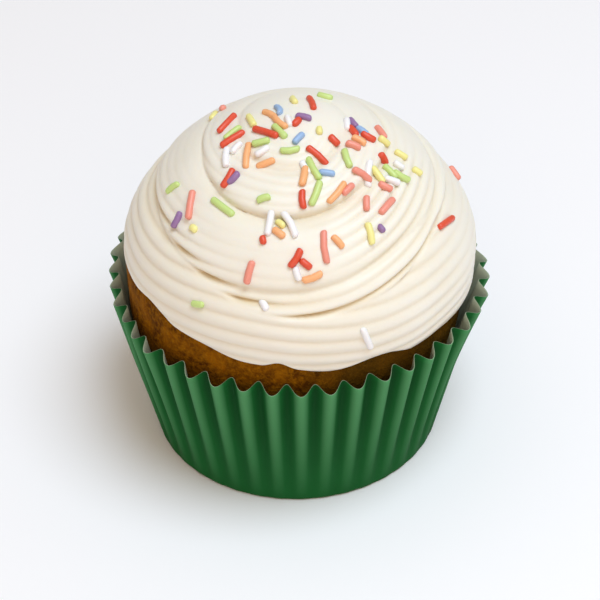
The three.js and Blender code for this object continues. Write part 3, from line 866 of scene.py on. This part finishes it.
def icing_skin(settings):
    """Rings from under the dome out to the lip, then up the mound to just short of the peak."""
    azimuth = np.arange(ICING_COLUMNS) * 360 / ICING_COLUMNS
    lip = lip_angle(azimuth)
    angle = lip + (PEAK - lip) * ICING_SHARES[:, None]
    radius, painted_shade = icing_radius(azimuth[None, :], angle)
    smooth = along_angle(radius, azimuth[None, :], angle)
    lumps = settings.lumps / MM * soft_noise(smooth, LUMP_SIZE, LUMP_SEED)
    radius = radius + lumps * ease((angle - lip) / LUMP_FOOT)
    outside = along_angle(radius, azimuth[None, :], angle)
    edge = np.hypot(outside[0][:, 0], outside[0][:, 1])
    under = []
    for share in UNDER_SHARES:
        ring = on_ring(np.minimum(SHOULDER_RADIUS * share, edge - UNDER_INSET), azimuth, 0.0)
        ring[..., 2] = dome_height(ring[..., 0], ring[..., 1]) + UNDER_GAP
        under.append(ring)
    rings = np.concatenate([under, outside])
    # Painted shade on the outside; none on the rings under the dome.
    painted_shade = np.concatenate([np.zeros((len(under), len(azimuth))), painted_shade])
    return rings, np.clip(painted_shade / FULLEST_SHADE, 0, 1)


# ---- The sugar strands ----


def draws(seed):
    """Repeatable draws between 0 and 1: the state times a factor, modulo a prime."""
    state = seed
    while True:
        state = state * DRAW_FACTOR % DRAW_PRIME
        yield state / DRAW_PRIME


def all_strands():
    """The strands that lie apart, and those of each pinch, scattered about its middle."""
    strands = list(LOOSE_STRANDS)
    draw = draws(SEED)
    shortest, longest = PINCH_LENGTHS
    lowest, highest = PINCH_ANGLES
    for azimuth, angle, apart, colours in PINCHES:
        for colour in colours.split():
            up = angle + apart * (next(draw) + next(draw) - 1)
            round_ = apart * (next(draw) + next(draw) - 1) / math.cos(math.radians(up))
            heading = 180 * next(draw)
            length = shortest + (longest - shortest) * next(draw)
            up = min(highest, max(lowest, up))
            strands.append((colour, azimuth + round_, up, heading, length))
    return strands


def icing_at(azimuth, angle):
    """A place on the icing."""
    azimuth, angle = np.array([[azimuth], [angle]], float)
    return Vector(along_angle(icing_radius(azimuth, angle)[0], azimuth, angle)[0])


def strand_place(azimuth, angle, heading, length, thickness):
    """The matrix that lays a rod on the icing: both ends on it, and raised where the icing
    stands up between them."""
    reach = math.degrees((length / 2 - thickness) / WAIST_RADIUS)
    round_ = reach * math.cos(math.radians(heading)) / math.cos(math.radians(angle))
    up = reach * math.sin(math.radians(heading))
    tail, head = icing_at(azimuth - round_, angle - up), icing_at(azimuth + round_, angle + up)
    middle = icing_at(azimuth, angle)
    centre = (tail + head) / 2
    along = (head - tail).normalized()
    outward = middle - Vector((*ICING_CENTRE, WAIST_HEIGHT))
    across = outward.cross(along).normalized()
    out = along.cross(across)
    centre += out * (max(0.0, (middle - centre).dot(out)) + STRAND_LIFT)
    place = Matrix((along, across, out)).transposed().to_4x4()
    place.translation = centre
    return place


def strand_skin(length, thickness, bend):
    """A rod along x with rounded ends, its middle bowed by bend: rings round a parabola."""
    half = length / 2
    inset = END_INSETS * thickness * END_ROUND
    along = np.concatenate([inset - half, [0.0], half - inset[::-1]])
    wide = np.array([*END_WIDTHS, MIDDLE_WIDTH, *END_WIDTHS[::-1]]) * thickness
    side = np.arange(STRAND_SIDES) * 2 * np.pi / STRAND_SIDES
    bow = bend * (1 - (along / half) ** 2)
    x = np.repeat(along[:, None], STRAND_SIDES, 1)
    y = bow[:, None] + wide[:, None] * np.cos(side)
    z = wide[:, None] * np.sin(side)
    return closed_skin(np.stack([x, y, z], -1), (-half, 0, 0), (half, 0, 0))


# ---- Settings ----


def length_of(name, millimetres, description):
    """A length setting whose default is given in millimetres."""
    return FloatProperty(
        name=name, description=description, default=millimetres * MM, min=0, unit="LENGTH", precision=5
    )


def colour_of(name, hex_colour, description):
    """A colour setting whose default is given as an sRGB hex value."""
    return FloatVectorProperty(
        name=name,
        description=description,
        default=linear(hex_colour),
        size=3,
        min=0,
        max=1,
        subtype="COLOR",
    )


class CaseSettings(bpy.types.PropertyGroup):
    """Sizes and colours of the paper case."""

    base_radius: length_of("Base radius", 25.4, "Radius of the flat base")
    rim_radius: length_of("Rim radius", 31.6, "Radius over the ridges at the rim")
    height: length_of("Height", 29.2, "Height of the ridges")
    valley_lift: length_of("Valley lift", 1.1, "How much higher the valleys stand")
    pleat_depth: length_of("Pleat depth", 1.75, "From ridge to valley at the rim")
    paper: length_of("Paper", 0.16, "Thickness of the paper")
    pleats: IntProperty(name="Pleats", description="Pleats round the case", default=42, min=12, max=80)
    green: colour_of("Green", "#125E28", "Dyed outside")
    shade: colour_of("Shade", "#0C5220", "Darker clouds of the dye")
    # Painted highlight on the ridges, where they catch the light.
    ridge: colour_of("Ridge", "#4E8E5C", "Paper pressed thin on the ridges")
    # Painted shade deep in the folds.
    fold: colour_of("Fold", "#003F14", "Deep in the folds")
    inside: colour_of("Inside", "#AFB9A2", "Undyed inside")


class SpongeSettings(bpy.types.PropertyGroup):
    """Relief and colours of the sponge."""

    relief: length_of("Relief", 0.45, "Depth of the crumbs and crags in the crust")
    amber: colour_of("Amber", "#8C5400", "Crust that rose free of the case")
    dark: colour_of("Dark", "#512A00", "Crust that caught the heat")
    gold: colour_of("Gold", "#A06806", "Open crumbs")
    # Colour that the crust turns to on the right of the middle.
    darker_right: colour_of("Harder", "#47360A", "Crust on the side that baked harder")


class IcingSettings(bpy.types.PropertyGroup):
    """Relief and colours of the buttercream."""

    lumps: length_of("Lumps", 0.1, "Height of the soft lumps in the surface")
    cream: colour_of("Cream", "#EEECE3", "Buttercream in the open")
    shade: colour_of("Shade", "#EBE7DA", "Its yellower clouds")
    # Painted shade deep in the creases.
    crease: colour_of("Crease", "#DFCDA6", "Deep in the creases")


class StrandSettings(bpy.types.PropertyGroup):
    """Size and colours of the sugar strands."""

    radius: length_of("Radius", 0.58, "Radius of a strand")
    red: colour_of("Red", "#DB4214", "Red strands")
    coral: colour_of("Coral", "#E9907D", "Coral strands")
    orange: colour_of("Orange", "#F4B076", "Orange strands")
    yellow: colour_of("Yellow", "#EEE894", "Yellow strands")
    green: colour_of("Green", "#C3DC84", "Green strands")
    white: colour_of("White", "#F0F0F3", "White strands")
    blue: colour_of("Blue", "#92B4DD", "Blue strands")
    purple: colour_of("Purple", "#8F6A9E", "Purple strands")


class StageSettings(bpy.types.PropertyGroup):
    """The table and the light."""

    table: colour_of("Table", "#F8F9FD", "Matt table top")
    window: FloatProperty(name="Window", description="Light of the window", default=3.0, min=0)
    room: FloatProperty(name="Room", description="Light of the room", default=0.48, min=0)


# ---- Operators ----


class CUPCAKE_OT_case(bpy.types.Operator):
    """Pleats the paper case and stands it on its flat base"""

    bl_idname = "cupcake.case"
    bl_label = "Paper case"

    def execute(self, context):
        settings = context.scene.cupcake_case
        rings, inside, ridge, wall = case_skin(settings)
        points, faces = closed_skin(rings, (0, 0, 0), (0, 0, wall))
        piece = add_piece("case_paper", points, faces, greaseproof_paper(settings), "paper_case")
        add_share(piece, "inside", np.append(inside.ravel(), [0, 1]))
        # The share of painted highlight on the ridges and painted shade in the folds.
        add_share(piece, "ridge", np.append(ridge.ravel(), [0, 0]))
        return {"FINISHED"}


class CUPCAKE_OT_sponge(bpy.types.Operator):
    """Bakes the sponge in the case, with a craggy dome"""

    bl_idname = "cupcake.sponge"
    bl_label = "Sponge"

    def execute(self, context):
        settings = context.scene.cupcake_sponge
        rings = sponge_skin(settings, context.scene.cupcake_case)
        top = (0, 0, float(dome_height(0.0, 0.0)) - settings.relief / MM)
        points, faces = closed_skin(rings, (0, 0, float(rings[0, 0, 2])), top)
        add_piece("sponge_cake", points, faces, baked_sponge(settings), "sponge")
        return {"FINISHED"}


class CUPCAKE_OT_buttercream(bpy.types.Operator):
    """Pipes the buttercream in a spiral from the edge to the peak"""

    bl_idname = "cupcake.buttercream"
    bl_label = "Buttercream"

    def execute(self, context):
        settings = context.scene.cupcake_icing
        rings, painted_shade = icing_skin(settings)
        peak = rings[-1].mean(0) + np.array([0, 0, PEAK_LIFT])
        under = (0, 0, float(dome_height(0.0, 0.0)) + UNDER_GAP)
        points, faces = closed_skin(rings, under, peak)
        cream = piped_buttercream(settings)
        piece = add_piece("buttercream_swirl", points, faces, cream, "buttercream")
        # The share of painted shade in the creases and grooves.
        add_share(piece, "painted_crease_shade", np.append(painted_shade.ravel(), [0, 0]))
        return {"FINISHED"}


class CUPCAKE_OT_strands(bpy.types.Operator):
    """Scatters the sugar strands, one piece for each colour"""

    bl_idname = "cupcake.strands"
    bl_label = "Sugar strands"

    def execute(self, context):
        settings = context.scene.cupcake_strands
        thickness = settings.radius / MM
        draw = np.random.default_rng(SEED)
        heaps = {}
        for colour, azimuth, angle, heading, length in all_strands():
            place = np.array(strand_place(azimuth, angle, heading, length, thickness))
            bend = draw.normal(0, STRAND_BEND) * length
            points, faces = strand_skin(length, thickness * draw.uniform(*STRAND_WIDTHS), bend)
            points = points @ place[:3, :3].T + place[:3, 3]
            heaps.setdefault(colour, []).append((points, faces))
        for colour, heap in heaps.items():
            material = pressed_sugar(colour, getattr(settings, colour))
            points = np.concatenate([points for points, _ in heap])
            first = np.cumsum([0] + [len(points) for points, _ in heap])
            faces = [group + start for (_, groups), start in zip(heap, first) for group in groups]
            add_piece("strands_" + colour, points, faces, material, "buttercream")
        return {"FINISHED"}


class CUPCAKE_OT_stage(bpy.types.Operator):
    """Lays the table, hangs the lights and sets up the camera"""

    bl_idname = "cupcake.stage"
    bl_label = "Stage"

    def execute(self, context):
        settings = context.scene.cupcake_stage
        square = [(-1, -1), (1, -1), (1, 1), (-1, 1)]
        corners = [(x * TABLE_HALF, y * TABLE_HALF, 0) for x, y in square]
        mesh = bpy.data.meshes.new("table_top")
        mesh.from_pydata(corners, [], [(0, 1, 2, 3)])
        mesh.materials.append(matt_laminate(settings))
        table = bpy.data.objects.new("table_top", mesh)
        context.scene.collection.objects.link(table)
        hang_lights(context.scene, settings)
        set_camera(context.scene)
        return {"FINISHED"}


def hang_lights(scene, settings):
    """A window high up on the right, a wide warm wall in front, and a dim warm room."""
    for name, place, size, share, colour in LIGHTS:
        light = bpy.data.lights.new(name, "AREA")
        light.shape = "DISK"
        light.size = size
        light.energy = settings.window * share
        light.color = colour
        lamp = bpy.data.objects.new(name, light)
        lamp.location = place
        aim = Vector(LIGHTS_AIM) - Vector(place)
        lamp.rotation_euler = aim.to_track_quat("-Z", "Y").to_euler()
        scene.collection.objects.link(lamp)
    room = bpy.data.worlds.new("room")
    room.use_nodes = True
    background = room.node_tree.nodes["Background"]
    background.inputs["Color"].default_value = rgba(ROOM_COLOUR)
    background.inputs["Strength"].default_value = settings.room
    scene.world = room


def set_camera(scene):
    """A camera at a distance from its target along the line of sight, rolled about that line."""
    rise = math.radians(VIEW_ELEVATION)
    target = Vector(VIEW_TARGET) * MM
    away = Vector((0, -math.cos(rise), math.sin(rise)))
    look = (-away).to_track_quat("-Z", "Y").to_matrix().to_4x4()
    camera = bpy.data.objects.new("camera", bpy.data.cameras.new("camera"))
    camera.data.lens = LENS
    camera.data.sensor_width = SENSOR
    camera.data.clip_start = 0.01
    roll = Matrix.Rotation(math.radians(VIEW_ROLL), 4, "Z")
    camera.matrix_world = Matrix.Translation(target + away * VIEW_DISTANCE * MM) @ look @ roll
    scene.collection.objects.link(camera)
    scene.camera = camera
    scene.view_settings.view_transform = "Standard"


class CUPCAKE_PT_panel(bpy.types.Panel):
    """Settings and pieces of the cupcake"""

    bl_idname = "CUPCAKE_PT_panel"
    bl_label = "Cupcake"
    bl_space_type = "VIEW_3D"
    bl_region_type = "UI"
    bl_category = "Cupcake"

    def draw(self, context):
        for name, _, operator in PIECES:
            box = self.layout.box()
            settings = getattr(context.scene, name)
            for field in settings.bl_rna.properties:
                if field.identifier not in ("rna_type", "name"):
                    box.prop(settings, field.identifier)
            box.operator(operator.bl_idname)


# A piece's settings in the scene, their group, and its operator.
PIECES = [
    ("cupcake_case", CaseSettings, CUPCAKE_OT_case),
    ("cupcake_sponge", SpongeSettings, CUPCAKE_OT_sponge),
    ("cupcake_icing", IcingSettings, CUPCAKE_OT_buttercream),
    ("cupcake_strands", StrandSettings, CUPCAKE_OT_strands),
    ("cupcake_stage", StageSettings, CUPCAKE_OT_stage),
]


def register():
    """Registers the settings, the operators and the panel."""
    for name, group, operator in PIECES:
        bpy.utils.register_class(group)
        setattr(bpy.types.Scene, name, PointerProperty(type=group))
        bpy.utils.register_class(operator)
    bpy.utils.register_class(CUPCAKE_PT_panel)


def unregister():
    """Takes them away again, in the opposite order."""
    bpy.utils.unregister_class(CUPCAKE_PT_panel)
    for name, group, operator in reversed(PIECES):
        bpy.utils.unregister_class(operator)
        delattr(bpy.types.Scene, name)
        bpy.utils.unregister_class(group)


def main():
    """Builds every piece in order."""
    register()
    bpy.ops.cupcake.case()
    bpy.ops.cupcake.sponge()
    bpy.ops.cupcake.buttercream()
    bpy.ops.cupcake.strands()
    bpy.ops.cupcake.stage()


if __name__ == "__main__":
    main()
